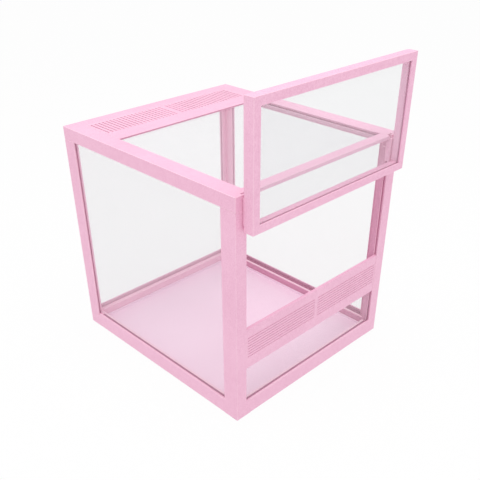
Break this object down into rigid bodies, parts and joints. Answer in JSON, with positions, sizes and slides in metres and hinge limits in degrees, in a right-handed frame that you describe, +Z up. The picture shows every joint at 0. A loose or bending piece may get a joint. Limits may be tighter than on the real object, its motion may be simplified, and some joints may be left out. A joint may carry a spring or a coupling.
{
  "type": "display box",
  "caption": "Clear box in an angle-section frame, with vent plates in the top and front and a framed clear sash that lifts in front of the posts.",
  "frame": {"origin": "on the underside's level, under the middle of the whole part with the sash lifted as stored", "axes": "+X to the right seen from the front, -Y to the front where the sash is, +Z up"},
  "size_m": [0.286, 0.3326, 0.4005],
  "materials": {
    "pink_plastic": "matte pastel pink, fine grain",
    "floor_plastic": "satin pale pink",
    "clear_acrylic": "clear polished sheet"
  },
  "bodies": {
    "box": {"side_panel_left": "clear_acrylic", "side_panel_right": "clear_acrylic", "back_panel": "clear_acrylic", "front_lower_panel": "clear_acrylic", "top_panel": "clear_acrylic", "front_vent_plate": "pink_plastic", "top_vent_plate": "pink_plastic", "post_front_left": "pink_plastic", "post_front_right": "pink_plastic", "post_back_left": "pink_plastic", "post_back_right": "pink_plastic", "base_rail_front": "pink_plastic", "base_rail_back": "pink_plastic", "base_rail_left": "pink_plastic", "base_rail_right": "pink_plastic", "ring_corner_front_left": "pink_plastic", "ring_corner_front_right": "pink_plastic", "ring_corner_back_left": "pink_plastic", "ring_corner_back_right": "pink_plastic", "ring_rail_left": "pink_plastic", "ring_rail_right": "pink_plastic", "ring_rail_back": "pink_plastic", "ring_rail_front": "pink_plastic", "floor_tray": "floor_plastic"},
    "sash": {"sash_stile_left": "pink_plastic", "sash_stile_right": "pink_plastic", "sash_rail_bottom": "pink_plastic", "sash_rail_top": "pink_plastic", "sash_panel": "clear_acrylic", "sash_strip_left": "pink_plastic", "sash_strip_right": "pink_plastic", "sash_strip_bottom": "pink_plastic", "sash_strip_top": "pink_plastic", "guide_shoe_left": "pink_plastic", "guide_shoe_right": "pink_plastic"}
  },
  "joints": [
    {"name": "sash_lift", "type": "slide", "parent": "box", "child": "sash", "axis": [0, 0, 1], "range_m": [-0.1355, 0.012]}
  ]
}
